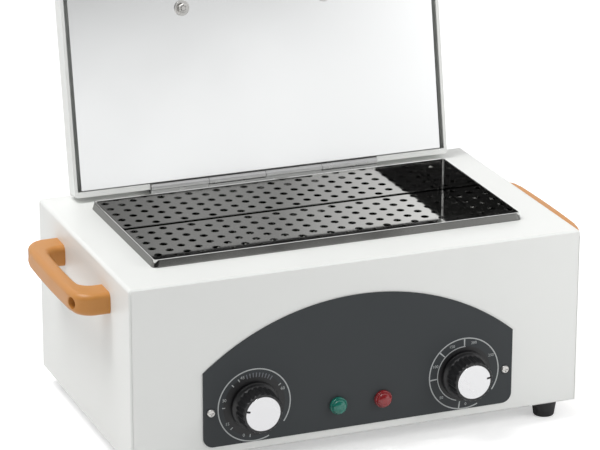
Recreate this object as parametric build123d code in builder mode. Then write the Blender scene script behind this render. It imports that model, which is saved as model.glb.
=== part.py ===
"""Bench-top dry-heat instrument steriliser, standing with its lid open.

The origin is on the bench, under the middle of the outline that the machine has with its lid open.
X runs along the front panel, Y from the front panel to the rear, Z up. Lengths are in millimetres.
"""

import os
from math import atan2, cos, degrees, radians, sin

from build123d import *

os.makedirs("parts", exist_ok=True)

# Housing
width = 370.0
depth = 223.0
height = 142.0
foot_height = 15.0
foot_radius = 10.5
foot_taper = 2.2  # how much smaller the sole's radius is
foot_recess = 8.0
foot_inset_x = 20.0
foot_inset_y = 15.5
sheet = 1.2
side_bend = 3.0
front_bend = 1.2
seam_width = 0.5
fit_gap = 0.2
bottom_flange = 24.0
rear_flange = 9.0
rear_screw_inset = 7.0
rear_screw_spacing = 100.0
outline_middle = 126.0  # from the front panel to the middle of the outline with the lid open

# Tub and tray
tub_width = 306.0
tub_length = 149.5
tub_front = 38.5
lip_rise = 6.0
tub_depth = 56.0
tub_sheet = 1.0
collar_base = 1.6  # how far the collar's foot stands out from the tub's wall
tub_corner = 5.0
tray_drop = 26.5
tray_sheet = 0.8
tray_gap = 0.5
hole_pitch_x = 12.1
hole_pitch_y = 14.4
hole_radius = 3.3

# Lid and hinge
lid_width = 323.0
lid_length = 173.0
lid_depth = 16.0
lid_sheet = 1.0
lid_bend = 2.0
open_angle = 100.5
panel_inset = 6.0
panel_rear_inset = 5.2
panel_recess = 1.0
hem_width = 2.5
rear_hem_width = 4.4
seat_gap = 0.3
hinge_back = 201.8
hinge_overhang = 1.3
hinge_length = 196.0
hinge_sheet = 1.5
pin_radius = 1.1
running_fit = 0.05
knuckles = 4
knuckle_gap = 0.4
body_rivet_back = 6.0

# Heater and insulation
heater_width = 250.0
heater_length = 90.0
heater_thickness = 4.0
heater_terminal = -105.0
heater_space = 10.0
jacket_wall = 12.0
bulb_radius = 3.0

# Front panel fittings
dial_offset = 87.0
dial_height = 37.0
lamp_offset = 18.6
lamp_height = 26.5
lamp_hole_radius = 5.4
fascia_width = 256.0
fascia_bottom = 7.2
fascia_shoulder = 68.0
fascia_top = 114.7
fascia_corner = 8.0
fascia_sheet = 1.0
fascia_screw_offset = 122.0
fascia_screw_height = 35.5
shaft_radius = 3.0
bushing_radius = 4.8
knob_back = 2.5
knob_front = 20.0
knob_skirt_radius = 19.0
knob_radius = 16.8
cap_radius = 13.8
flutes = 24
flute_depth = 1.2
timer_pointer = 285.0  # clockwise from the top of the dial
thermostat_pointer = 82.0

# Fasteners and their holes
screw_radius = 2.0
screw_hole = 2.2
screw_head = 4.0
screw_head_height = 2.8
small_screw_radius = 1.5
small_screw_hole = 1.7
small_screw_head = 3.1
small_screw_head_height = 1.9
nut_width = 7.0
nut_thickness = 3.2
nut_bore = 2.1
rivet_radius = 1.6
rivet_hole = 1.7
rivet_head = 2.6
rivet_head_height = 0.9
rivet_tail_height = 0.7
rivet_spacing = 56.0

# Handles
side_handle_length = 137.0
side_screw_spacing = 110.0
side_handle_middle = 112.2
side_handle_height = 116.0
lid_handle_length = 149.0
lid_screw_spacing = 122.0
lid_handle_back = 141.0
handle_rise = 29.0
handle_thickness = 16.5
handle_bevel = 4.0
handle_seat = 10.0

# Places worked out from the dimensions above
front = -outline_middle
rear = front + depth
body_middle = front + depth / 2
top = foot_height + height
lip = top + lip_rise
inner_width = width - 2 * sheet
tub_middle = front + tub_front + tub_length / 2
wall_width = tub_width - 2 * collar_base
wall_length = tub_length - 2 * collar_base
tub_floor = lip - tub_depth
tray_top = lip - tray_drop

heater_top = tub_floor - tub_sheet
bulb_z = heater_top - bulb_radius
bulb_y = tub_middle - heater_length / 2 - 12
jacket_floor = tub_floor - tub_sheet - heater_space

lean_sin = sin(radians(open_angle))
lean_cos = cos(radians(open_angle))
corner_reach = lip_rise + seat_gap - panel_recess + lid_depth - lid_bend
hinge_rise = (
    hinge_sheet
    + seat_gap
    + lid_bend
    + lean_sin * (hinge_overhang - lid_bend)
    - lean_cos * corner_reach
) / (1 - lean_cos)
hinge_y = front + hinge_back
hinge_z = top + hinge_rise
seat = lip_rise + seat_gap - hinge_rise
rim = seat - panel_recess
skin_top = rim + lid_depth
knuckle_radius = pin_radius + hinge_sheet
lid_middle = hinge_overhang - lid_length / 2

front_face = Plane(origin=(0, front, foot_height), x_dir=(1, 0, 0), z_dir=(0, -1, 0))
rear_face = Plane(origin=(0, rear, foot_height), x_dir=(-1, 0, 0), z_dir=(0, 1, 0))
open_lid = Plane(origin=(0, hinge_y, hinge_z), x_dir=(1, 0, 0), z_dir=(0, lean_sin, lean_cos))
hinge_line = Plane(origin=(0, hinge_y, hinge_z), x_dir=(0, 1, 0), z_dir=(1, 0, 0))
dials = {"timer": -dial_offset, "thermostat": dial_offset}
pointers = {"timer": timer_pointer, "thermostat": thermostat_pointer}
small_sides = 6  # flats that a small round section is drawn with
hole_sides = 4  # flats that a tray hole is drawn with
round_sides = 12  # flats that a larger round section is drawn with


def foot_spots():
    return GridLocations(width - 2 * foot_inset_x, depth - 2 * foot_inset_y, 2, 2)


def rear_screw_spots():
    return GridLocations(width - 2 * rear_screw_inset, rear_screw_spacing, 2, 2)


def body_rivet_spots():
    return GridLocations(rivet_spacing, 0, 4, 1)


def lid_rivet_spots():
    return GridLocations(rivet_spacing, 0, 3, 1)


def lid_screw_spots():
    return GridLocations(lid_screw_spacing, 0, 2, 1)


def small_hole(radius):
    """A small round punched hole in the sketch at hand."""
    return RegularPolygon(radius, small_sides, mode=Mode.SUBTRACT)


def side_plane(side):
    """The plane of a side wall's outer face at the handle's middle, looking outward."""
    centre = (side * width / 2, front + side_handle_middle, foot_height + side_handle_height)
    return Plane(origin=centre, x_dir=(0, side, 0), z_dir=(side, 0, 0))


def screw(length):
    """A pan-head screw along Z whose head sits on the plane of X and Y."""
    with BuildPart() as fastener:
        with BuildSketch():
            RegularPolygon(screw_head, small_sides)
        extrude(amount=screw_head_height)
        with BuildSketch():
            RegularPolygon(screw_radius, small_sides)
        extrude(amount=-length)
    return fastener.part


def small_screw(length):
    """The thinner pan-head screw that holds the sheet parts."""
    with BuildPart() as fastener:
        with BuildSketch():
            RegularPolygon(small_screw_head, small_sides)
        extrude(amount=small_screw_head_height)
        with BuildSketch():
            RegularPolygon(small_screw_radius, small_sides)
        extrude(amount=-length)
    return fastener.part


def hexagon_nut(across_flats=nut_width, thickness=nut_thickness, bore_radius=nut_bore):
    """A hexagon nut standing on the plane of X and Y."""
    with BuildPart() as nut:
        with BuildSketch():
            RegularPolygon(across_flats / 2, 6, major_radius=False)
            RegularPolygon(bore_radius, small_sides, major_radius=False, mode=Mode.SUBTRACT)
        extrude(amount=thickness)
    return nut.part


def rivet(grip):
    """A rivet along Z through sheets of the grip's thickness below the plane of X and Y."""
    with BuildPart() as fastener:
        with BuildSketch():
            RegularPolygon(rivet_head, small_sides)
        extrude(amount=rivet_head_height)
        with BuildSketch():
            RegularPolygon(rivet_radius, small_sides)
        extrude(amount=-grip)
        with BuildSketch(Plane.XY.offset(-grip)):
            RegularPolygon(0.9 * rivet_head, small_sides)
        extrude(amount=-rivet_tail_height)
    return fastener.part


def quarter_bend(centre_x, centre_y, radius):
    """Points round a quarter circle from its right-hand end up to its top."""
    return [
        (centre_x + radius * cos(radians(turn)), centre_y + radius * sin(radians(turn)))
        for turn in (0, 30, 60, 90)
    ]


def moulded_handle(base, length, screw_spacing):
    """A bow handle moulded in one piece, with a counterbored screw hole in each leg."""
    profile_plane = Plane(origin=base.origin, x_dir=base.x_dir, z_dir=base.x_dir.cross(base.z_dir))
    half = length / 2
    leg = 25.0
    outer_bend = 17.0
    inner_bend = 9.0
    end_rise = handle_rise - 1.3
    gap_rise = handle_rise - 13.0
    outer = quarter_bend(half - outer_bend, end_rise - outer_bend, outer_bend)
    inner = quarter_bend(half - leg - inner_bend, gap_rise - 0.6 - inner_bend, inner_bend)
    right_half = [(0, gap_rise)] + inner[::-1] + [(half - leg, 0), (half, 0)] + outer + [(0, handle_rise)]
    left_half = [(-x, y) for x, y in right_half[-2:0:-1]]
    with BuildPart() as handle:
        with BuildSketch(profile_plane):
            with BuildLine():
                Polyline(*right_half, *left_half, close=True)
            make_face()
        extrude(amount=handle_thickness / 2, both=True)
        feet = handle.faces().sort_by(lambda f: base.to_local_coords(f).center().Z)[0:2]
        chamfer(handle.edges().filter_by(profile_plane) - feet.edges(), handle_bevel)
        with BuildSketch(base):
            with Locations((-screw_spacing / 2, 0), (screw_spacing / 2, 0)):
                RegularPolygon(screw_hole, small_sides)
        extrude(amount=handle_rise, mode=Mode.SUBTRACT)
        with BuildSketch(base.offset(handle_seat)):
            with Locations((-screw_spacing / 2, 0), (screw_spacing / 2, 0)):
                RegularPolygon(screw_head + 0.75, round_sides)
        extrude(amount=handle_rise, mode=Mode.SUBTRACT)
    return handle


# Casing: one sheet folded down at the front and sides, with a seam down each front corner
with BuildPart() as casing:
    with BuildSketch(front_face):
        with Locations((0, height / 2)):
            section = Rectangle(width, height)
        fillet(section.vertices().group_by(Axis.Y)[-1], side_bend)
    extrude(amount=-depth)
    chamfer(casing.faces().sort_by(Axis.Y)[0].edges(), front_bend)
    with BuildSketch(front_face.offset(-sheet)):
        with Locations((0, (height - sheet) / 2)):
            section = Rectangle(inner_width, height - sheet)
        fillet(section.vertices().group_by(Axis.Y)[-1], side_bend - sheet)
    extrude(amount=-depth, mode=Mode.SUBTRACT)
    with BuildSketch(front_face):
        with Locations((0, height / 2 - side_bend)):
            with GridLocations(width - 2 * front_bend - seam_width, 0, 2, 1):
                Rectangle(seam_width, height - side_bend)
    extrude(amount=-seam_width, mode=Mode.SUBTRACT)
    with BuildSketch(Plane.XY.offset(foot_height + sheet)):
        with Locations((0, body_middle)):
            Rectangle(inner_width, depth - 2 * sheet)
            Rectangle(
                inner_width - 2 * bottom_flange,
                depth - 2 * sheet - 2 * bottom_flange,
                mode=Mode.SUBTRACT,
            )
    extrude(amount=sheet)
    with BuildSketch(rear_face.offset(-sheet)):
        with Locations((0, height / 2)):
            Rectangle(inner_width, height - 2 * sheet)
            Rectangle(
                inner_width - 2 * rear_flange,
                height - 2 * sheet - 2 * rear_flange,
                mode=Mode.SUBTRACT,
            )
    extrude(amount=-sheet)
    with BuildSketch(Plane.XY.offset(top)):
        with Locations((0, tub_middle)):
            RectangleRounded(wall_width + 1, wall_length + 1, tub_corner)
    extrude(amount=-2 * sheet, mode=Mode.SUBTRACT)
    with BuildSketch(front_face):
        with Locations((-dial_offset, dial_height), (dial_offset, dial_height)):
            RegularPolygon(bushing_radius + fit_gap, round_sides)
        with Locations((-lamp_offset, lamp_height), (lamp_offset, lamp_height)):
            RegularPolygon(lamp_hole_radius, round_sides)
        with Locations(
            (-fascia_screw_offset, fascia_screw_height), (fascia_screw_offset, fascia_screw_height)
        ):
            RegularPolygon(small_screw_hole, small_sides)
    extrude(amount=-sheet, mode=Mode.SUBTRACT)
    for side in (-1, 1):
        with BuildSketch(side_plane(side)):
            with Locations((-side_screw_spacing / 2, 0), (side_screw_spacing / 2, 0)):
                RegularPolygon(screw_hole, small_sides)
        extrude(amount=-sheet, mode=Mode.SUBTRACT)
    with BuildSketch(Plane.XY.offset(foot_height)):
        with Locations((0, body_middle)):
            with foot_spots():
                RegularPolygon(screw_hole, small_sides)
    extrude(amount=3 * sheet, mode=Mode.SUBTRACT)
    with BuildSketch(rear_face):
        with Locations((0, height / 2)):
            with rear_screw_spots():
                RegularPolygon(small_screw_hole, small_sides)
    extrude(amount=-3 * sheet, mode=Mode.SUBTRACT)
    with BuildSketch(Plane.XY.offset(top)):
        with Locations((0, hinge_y + body_rivet_back)):
            with body_rivet_spots():
                RegularPolygon(rivet_hole, small_sides)
    extrude(amount=-sheet, mode=Mode.SUBTRACT)
casing.part.label = "casing"
export_step(casing.part, "parts/casing.step")

# Rear panel: flat sheet inside the rear edges, with rows of vent slots and the hole for the gland
vent_length = 34.0
vent_width = 3.4
vent_height = 95.0
gland_x = 125.0
gland_height = 30.0
gland_bore = 3.6
gland_thread = 7.5
panel_height = height - sheet - fit_gap
with BuildPart() as rear_panel:
    with BuildSketch(rear_face):
        with Locations((0, panel_height / 2)):
            Rectangle(inner_width - 2 * fit_gap, panel_height)
        with Locations((0, vent_height)):
            with GridLocations(vent_length + 10, 9, 5, 4):
                Rectangle(vent_length, vent_width, mode=Mode.SUBTRACT)
        with Locations((gland_x, gland_height)):
            RegularPolygon(gland_thread + 0.1, round_sides, mode=Mode.SUBTRACT)
        with Locations((0, height / 2)):
            with rear_screw_spots():
                small_hole(small_screw_hole)
    extrude(amount=-sheet)
rear_panel.part.label = "rear_panel"
export_step(rear_panel.part, "parts/rear_panel.step")

with BuildPart() as rear_screws:
    with Locations(rear_face):
        with Locations((0, height / 2)):
            with rear_screw_spots():
                add(small_screw(6.0))
rear_screws.part.label = "rear_screws"
export_step(rear_screws.part, "parts/rear_screws.step")

# Base plate: flat sheet under the casing's bottom flanges, with two rows of vent slots
with BuildPart() as base_plate:
    with BuildSketch(Plane.XY.offset(foot_height)):
        with Locations((0, body_middle)):
            Rectangle(inner_width - 2 * fit_gap, depth - 2 * sheet - 2 * fit_gap)
            with GridLocations(28, 90, 7, 2):
                Rectangle(vent_width, vent_length, mode=Mode.SUBTRACT)
            with foot_spots():
                small_hole(screw_hole)
    extrude(amount=sheet)
base_plate.part.label = "base_plate"
export_step(base_plate.part, "parts/base_plate.step")

# Feet: tapered rubber, with a recess for the screw from below
foot_names = ["foot_front_left", "foot_rear_left", "foot_front_right", "foot_rear_right"]
for name, spot in zip(foot_names, foot_spots().local_locations):
    foot_x = spot.position.X
    foot_y = body_middle + spot.position.Y
    with BuildPart() as foot:
        with BuildSketch():
            with Locations((foot_x, foot_y)):
                RegularPolygon(foot_radius, round_sides)
        extrude(amount=foot_height)
        sole = foot.faces().sort_by(Axis.Z)[0]
        chamfer(sole.edges(), length=foot_taper, length2=foot_height - 1, reference=sole)
        with BuildSketch(Plane.XY):
            with Locations((foot_x, foot_y)):
                RegularPolygon(screw_head + 1, small_sides)
        extrude(amount=foot_recess, mode=Mode.SUBTRACT)
        with BuildSketch(Plane.XY):
            with Locations((foot_x, foot_y)):
                RegularPolygon(screw_hole, small_sides)
        extrude(amount=foot_height, mode=Mode.SUBTRACT)
    foot.part.label = name
    export_step(foot.part, f"parts/{name}.step")

with BuildPart() as foot_screws:
    with Locations(Plane(origin=(0, body_middle, foot_recess), z_dir=(0, 0, -1))):
        with foot_spots():
            add(screw(14.0))
foot_screws.part.label = "foot_screws"
export_step(foot_screws.part, "parts/foot_screws.step")

with BuildPart() as foot_nuts:
    with Locations((0, body_middle, foot_height + 2 * sheet)):
        with foot_spots():
            add(hexagon_nut())
foot_nuts.part.label = "foot_nuts"
export_step(foot_nuts.part, "parts/foot_nuts.step")

# Tub: deep polished pan whose sloped collar stands above the top plate, with a flange under the plate
collar_slope = degrees(atan2(collar_base, lip_rise))
with BuildPart() as tub:
    with BuildSketch(Plane.XY.offset(tub_floor - tub_sheet)):
        with Locations((0, tub_middle)):
            RectangleRounded(wall_width, wall_length, tub_corner)
    extrude(amount=tub_depth + tub_sheet)
    with BuildSketch(Plane.XY.offset(top)):
        with Locations((0, tub_middle)):
            RectangleRounded(tub_width, tub_length, tub_corner + collar_base)
    extrude(amount=lip_rise, taper=collar_slope)
    with BuildSketch(Plane.XY.offset(top - sheet - tub_sheet)):
        with Locations((0, tub_middle)):
            RectangleRounded(tub_width + 20, tub_length + 20, tub_corner + 8)
    extrude(amount=tub_sheet)
    with BuildSketch(Plane.XY.offset(tub_floor)):
        with Locations((0, tub_middle)):
            RectangleRounded(
                wall_width - 2 * tub_sheet, wall_length - 2 * tub_sheet, tub_corner - tub_sheet
            )
    extrude(amount=tub_depth, mode=Mode.SUBTRACT)
tub.part.label = "tub"
export_step(tub.part, "parts/tub.step")

# Perforated tray: staggered holes, a short skirt all round and four corner legs on the tub's floor
tray_width = wall_width - 2 * tub_sheet - 2 * tray_gap
tray_length = wall_length - 2 * tub_sheet - 2 * tray_gap
tray_skirt = 8.0
leg_length = 22.0
with BuildPart() as perforated_tray:
    with BuildSketch(Plane.XY.offset(tray_top)):
        with Locations((0, tub_middle)):
            RectangleRounded(tray_width, tray_length, tub_corner - tub_sheet)
    extrude(amount=tub_floor - tray_top)
    with BuildSketch(Plane.XY.offset(tray_top - tray_sheet)):
        with Locations((0, tub_middle)):
            RectangleRounded(tray_width - 2 * tray_sheet, tray_length - 2 * tray_sheet, 3.0)
    extrude(amount=-tray_top, mode=Mode.SUBTRACT)
    with BuildSketch(Plane.XY.offset(tray_top - tray_skirt)):
        with Locations((0, tub_middle)):
            Rectangle(tray_width - 2 * leg_length, tray_length + 2)
            Rectangle(tray_width + 2, tray_length - 2 * leg_length)
    extrude(amount=-tray_top, mode=Mode.SUBTRACT)
    with BuildSketch(Plane.XY.offset(tray_top)):
        with Locations((0, tub_middle)):
            with GridLocations(2 * hole_pitch_x, hole_pitch_y, 13, 10):
                RegularPolygon(hole_radius, hole_sides)
            with GridLocations(2 * hole_pitch_x, hole_pitch_y, 12, 9):
                RegularPolygon(hole_radius, hole_sides)
    extrude(amount=-tray_sheet, mode=Mode.SUBTRACT)
perforated_tray.part.label = "perforated_tray"
export_step(perforated_tray.part, "parts/perforated_tray.step")

# Insulation jacket: mineral wool round the tub's walls and below the heater space
with BuildPart() as insulation_jacket:
    with BuildSketch(Plane.XY.offset(jacket_floor - jacket_wall)):
        with Locations((0, tub_middle)):
            Rectangle(wall_width + 2 * jacket_wall, wall_length + 2 * jacket_wall)
    extrude(amount=top - sheet - tub_sheet - jacket_floor + jacket_wall)
    with BuildSketch(Plane.XY.offset(jacket_floor)):
        with Locations((0, tub_middle)):
            Rectangle(wall_width + 2 * fit_gap, wall_length + 2 * fit_gap)
    extrude(amount=height, mode=Mode.SUBTRACT)
    with BuildSketch(Plane.XY.offset(jacket_floor)):
        with Locations((heater_terminal, tub_middle)):
            with GridLocations(0, 40, 1, 2):
                Rectangle(9, 3)
        with Locations((dial_offset, bulb_y)):
            Rectangle(4, 4)
    extrude(amount=-jacket_wall, mode=Mode.SUBTRACT)
insulation_jacket.part.label = "insulation_jacket"
export_step(insulation_jacket.part, "parts/insulation_jacket.step")

# Heater: flat plate element against the tub's floor with two blade terminals through the jacket
with BuildPart() as heater:
    with BuildSketch(Plane.XY.offset(heater_top - heater_thickness)):
        with Locations((0, tub_middle)):
            Rectangle(heater_width, heater_length)
    extrude(amount=heater_thickness)
    with BuildSketch(Plane.XY.offset(heater_top)):
        with Locations((heater_terminal, tub_middle)):
            with GridLocations(0, 40, 1, 2):
                Rectangle(6.3, 0.8)
    extrude(amount=jacket_floor - jacket_wall - 10 - heater_top)
heater.part.label = "heater"
export_step(heater.part, "parts/heater.step")

# Heater brackets: two strips under the plate, their ends turned up to the tub's floor
bracket_reach = heater_length + 6
with BuildPart() as heater_brackets:
    for bracket_x in (-80, 80):
        with BuildSketch(Plane.YZ.offset(bracket_x - 6)):
            with Locations((tub_middle, heater_top - heater_thickness - 0.5)):
                Rectangle(bracket_reach, 1.0)
            with Locations((tub_middle, heater_top - (heater_thickness + 1) / 2)):
                with GridLocations(bracket_reach - 1, 0, 2, 1):
                    Rectangle(1.0, heater_thickness + 1)
        extrude(amount=12)
heater_brackets.part.label = "heater_brackets"
export_step(heater_brackets.part, "parts/heater_brackets.step")

# Fascia: dark plate with an arched top, two screws
with BuildPart() as fascia_plate:
    with BuildSketch(front_face):
        with BuildLine():
            half = fascia_width / 2
            Line((-half, fascia_bottom), (half, fascia_bottom))
            Line((half, fascia_bottom), (half, fascia_shoulder))
            ThreePointArc((half, fascia_shoulder), (0, fascia_top), (-half, fascia_shoulder))
            Line((-half, fascia_shoulder), (-half, fascia_bottom))
        plate = make_face()
        fillet(plate.vertices().group_by(Axis.Y)[0], fascia_corner)
        fillet(plate.vertices().group_by(Axis.Y)[-1], 1.5)
        with Locations((-dial_offset, dial_height), (dial_offset, dial_height)):
            RegularPolygon(bushing_radius + fit_gap, round_sides, mode=Mode.SUBTRACT)
        with Locations((-lamp_offset, lamp_height), (lamp_offset, lamp_height)):
            RegularPolygon(lamp_hole_radius, round_sides, mode=Mode.SUBTRACT)
        with Locations(
            (-fascia_screw_offset, fascia_screw_height), (fascia_screw_offset, fascia_screw_height)
        ):
            small_hole(small_screw_hole)
    extrude(amount=fascia_sheet)
fascia_plate.part.label = "fascia_plate"
export_step(fascia_plate.part, "parts/fascia_plate.step")

with BuildPart() as fascia_screws:
    with Locations(front_face.offset(fascia_sheet)):
        with Locations(
            (-fascia_screw_offset, fascia_screw_height), (fascia_screw_offset, fascia_screw_height)
        ):
            add(small_screw(7.0))
fascia_screws.part.label = "fascia_screws"
export_step(fascia_screws.part, "parts/fascia_screws.step")

# Lamps: a domed lens in front of the fascia and a lamp body behind it
lens_radius = 7.0
lens_rise = 6.8
for name, lamp_x in {"green": -lamp_offset, "red": lamp_offset}.items():
    with BuildPart() as lens:
        with BuildSketch(front_face.offset(-sheet)):
            with Locations((lamp_x, lamp_height)):
                RegularPolygon(lamp_hole_radius - fit_gap, round_sides)
        extrude(amount=sheet + fascia_sheet)
        with BuildSketch(front_face.offset(fascia_sheet)):
            with Locations((lamp_x, lamp_height)):
                RegularPolygon(lens_radius, round_sides)
        extrude(amount=lens_rise)
        chamfer(lens.edges().group_by(Axis.Y)[0], 3.4)
        chamfer(lens.edges().group_by(Axis.Y)[0], 0.8)
    lens.part.label = f"{name}_lens"
    export_step(lens.part, f"parts/{name}_lens.step")

with BuildPart() as lamp_bodies:
    with BuildSketch(front_face.offset(-sheet)):
        with Locations((-lamp_offset, lamp_height), (lamp_offset, lamp_height)):
            RegularPolygon(6.5, round_sides)
    extrude(amount=-22)
    with BuildSketch(front_face.offset(-sheet - 22)):
        with Locations((-lamp_offset, lamp_height), (lamp_offset, lamp_height)):
            with GridLocations(6, 0, 2, 1):
                Rectangle(0.8, 4.8)
    extrude(amount=-8)
lamp_bodies.part.label = "lamp_bodies"
export_step(lamp_bodies.part, "parts/lamp_bodies.step")

# Timer and thermostat: the body behind the panel, its threaded bushing through it
body_sizes = {"timer": (46.0, 44.0, 30.0), "thermostat": (42.0, 36.0, 26.0)}
for name, dial_x in dials.items():
    body_width, body_height, body_depth = body_sizes[name]
    with BuildPart() as control:
        with BuildSketch(front_face.offset(-sheet)):
            with Locations((dial_x, dial_height)):
                Rectangle(body_width, body_height)
        extrude(amount=-body_depth)
        with BuildSketch(front_face.offset(-sheet)):
            with Locations((dial_x, dial_height)):
                RegularPolygon(bushing_radius, round_sides)
        extrude(amount=sheet + fascia_sheet + 3)
        with BuildSketch(front_face.offset(-sheet - body_depth)):
            with Locations((dial_x, dial_height)):
                with GridLocations(16, 14, 2, 2):
                    Rectangle(6.3, 0.8)
        extrude(amount=-9)
        with BuildSketch(front_face.offset(fascia_sheet + 3)):
            with Locations((dial_x, dial_height)):
                Circle(shaft_radius + running_fit)
        extrude(amount=-25, mode=Mode.SUBTRACT)
    control.part.label = f"{name}_body"
    export_step(control.part, f"parts/{name}_body.step")

with BuildPart() as bushing_nuts:
    with Locations(front_face.offset(fascia_sheet)):
        with Locations((-dial_offset, dial_height), (dial_offset, dial_height)):
            add(hexagon_nut(14.0, 2.0, bushing_radius + 0.5))
bushing_nuts.part.label = "bushing_nuts"
export_step(bushing_nuts.part, "parts/bushing_nuts.step")

# Knobs: fluted skirted knob on a flatted shaft, with a spun aluminium cap notched at the pointer
knob_skirt = 3.2
knob_slope = 3.0
fluted_outline = [
    (
        (knob_radius - flute_depth * (step % 2)) * cos(radians(180 * step / flutes)),
        (knob_radius - flute_depth * (step % 2)) * sin(radians(180 * step / flutes)),
    )
    for step in range(2 * flutes)
]
for name, dial_x in dials.items():
    pointer = 90 - pointers[name]
    dial_plane = Plane(origin=(dial_x, front, foot_height + dial_height), x_dir=(1, 0, 0), z_dir=(0, -1, 0))
    with BuildPart() as shaft:
        with BuildSketch(dial_plane.offset(18)):
            Circle(shaft_radius)
        extrude(amount=-38)
        with BuildSketch(dial_plane.offset(18)):
            with Locations((0, shaft_radius)):
                Rectangle(2 * shaft_radius, 3.0)
        extrude(amount=-13, mode=Mode.SUBTRACT)
    shaft.part.label = f"{name}_shaft"
    export_step(shaft.part, f"parts/{name}_shaft.step")

    with BuildPart() as knob:
        with BuildSketch(dial_plane.offset(knob_back)):
            RegularPolygon(knob_skirt_radius, flutes)
        extrude(amount=knob_skirt)
        with BuildSketch(dial_plane.offset(knob_back + knob_skirt)):
            with BuildLine():
                Polyline(*fluted_outline, close=True)
            make_face()
        extrude(amount=knob_front - knob_back - knob_skirt, taper=knob_slope)
        with BuildSketch(dial_plane.offset(knob_front)):
            RegularPolygon(cap_radius + 0.1, flutes)
        extrude(amount=-1.2, mode=Mode.SUBTRACT)
        with BuildSketch(dial_plane.offset(knob_back)):
            RegularPolygon(11.0, round_sides)
        extrude(amount=3.0, mode=Mode.SUBTRACT)
        with BuildSketch(dial_plane.offset(knob_back)):
            Circle(shaft_radius)
            with Locations((0, shaft_radius)):
                Rectangle(2 * shaft_radius, 3.0, mode=Mode.SUBTRACT)
        extrude(amount=18 - knob_back, mode=Mode.SUBTRACT)
    knob.part.label = f"{name}_knob"
    export_step(knob.part, f"parts/{name}_knob.step")

    with BuildPart() as cap:
        with BuildSketch(dial_plane.offset(knob_front - 1.2)):
            RegularPolygon(cap_radius, flutes)
        extrude(amount=1.6)
        with BuildSketch(dial_plane.offset(knob_front - 1.2)):
            with PolarLocations(cap_radius, 1, start_angle=pointer):
                Rectangle(6.0, 1.6)
        extrude(amount=2, mode=Mode.SUBTRACT)
    cap.part.label = f"{name}_knob_cap"
    export_step(cap.part, f"parts/{name}_knob_cap.step")


# Thermostat's sensing bulb under the tub, with its capillary to the thermostat, and the bulb's clip
capillary_drop = jacket_floor - jacket_wall - 12
with BuildPart() as sensing_bulb:
    with BuildSketch(Plane.YZ.offset(-40)):
        with Locations((bulb_y, bulb_z)):
            RegularPolygon(bulb_radius, round_sides, rotation=180 / round_sides)
    extrude(amount=80)
    with BuildLine():
        capillary_path = Polyline(
            (40, bulb_y, bulb_z),
            (dial_offset, bulb_y, bulb_z),
            (dial_offset, bulb_y, capillary_drop),
            (dial_offset, front + 45, capillary_drop),
            (dial_offset, front + 45, foot_height + dial_height),
            (dial_offset, front + sheet + 26, foot_height + dial_height),
        )
    with BuildSketch(Plane(origin=capillary_path @ 0, z_dir=capillary_path % 0)):
        Rectangle(1.6, 1.6)
    sweep(transition=Transition.RIGHT)
sensing_bulb.part.label = "sensing_bulb"
export_step(sensing_bulb.part, "parts/sensing_bulb.step")

with BuildPart() as bulb_clip:
    with BuildSketch(Plane.YZ.offset(-5)):
        with Locations((bulb_y, bulb_z - 0.5)):
            Rectangle(2 * bulb_radius + 2, 2 * bulb_radius + 1)
        with Locations((bulb_y, bulb_z)):
            Circle(bulb_radius + 0.05, mode=Mode.SUBTRACT)
    extrude(amount=10)
bulb_clip.part.label = "bulb_clip"
export_step(bulb_clip.part, "parts/bulb_clip.step")

# Cable gland in the rear panel and its nut inside; terminal block on the base plate
gland_face = Plane(rear_face * Location((gland_x, gland_height, 0)))
with BuildPart() as cable_gland:
    with BuildSketch(gland_face):
        RegularPolygon(11.0, 6, major_radius=False)
    extrude(amount=5)
    with BuildSketch(gland_face.offset(5)):
        RegularPolygon(9.6, round_sides)
    extrude(amount=9)
    chamfer(cable_gland.edges().group_by(Axis.Y)[-1], 1.6)
    with BuildSketch(gland_face):
        RegularPolygon(gland_thread, round_sides)
    extrude(amount=-8)
    with BuildSketch(gland_face.offset(14)):
        RegularPolygon(gland_bore, round_sides)
    extrude(amount=-22, mode=Mode.SUBTRACT)
cable_gland.part.label = "cable_gland"
export_step(cable_gland.part, "parts/cable_gland.step")

with BuildPart() as gland_nut:
    with Locations(gland_face.offset(-sheet - 4)):
        add(hexagon_nut(19.0, 4.0, gland_thread + 0.7))
gland_nut.part.label = "gland_nut"
export_step(gland_nut.part, "parts/gland_nut.step")

with BuildPart() as terminal_block:
    with BuildSketch(Plane.XY.offset(foot_height + sheet)):
        with Locations((-gland_x + 50, rear - 50)):
            Rectangle(42, 18)
    extrude(amount=16)
    with BuildSketch(Plane.XY.offset(foot_height + sheet + 16)):
        with Locations((-gland_x + 50, rear - 50)):
            with GridLocations(13, 9, 3, 2):
                Rectangle(7, 6)
    extrude(amount=-7, mode=Mode.SUBTRACT)
terminal_block.part.label = "terminal_block"
export_step(terminal_block.part, "parts/terminal_block.step")

# Side handles with their screws from outside and the nuts inside the casing
for name, side in {"left": -1, "right": 1}.items():
    handle = moulded_handle(side_plane(side), side_handle_length, side_screw_spacing)
    handle.part.label = f"{name}_handle"
    export_step(handle.part, f"parts/{name}_handle.step")

with BuildPart() as side_handle_screws:
    with Locations(*[side_plane(side).offset(handle_seat) for side in (-1, 1)]):
        with GridLocations(side_screw_spacing, 0, 2, 1):
            add(screw(handle_seat + sheet + 5))
side_handle_screws.part.label = "side_handle_screws"
export_step(side_handle_screws.part, "parts/side_handle_screws.step")

with BuildPart() as side_handle_nuts:
    with Locations(*[side_plane(side).offset(-sheet - nut_thickness) for side in (-1, 1)]):
        with GridLocations(side_screw_spacing, 0, 2, 1):
            add(hexagon_nut())
side_handle_nuts.part.label = "side_handle_nuts"
export_step(side_handle_nuts.part, "parts/side_handle_nuts.step")

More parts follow.
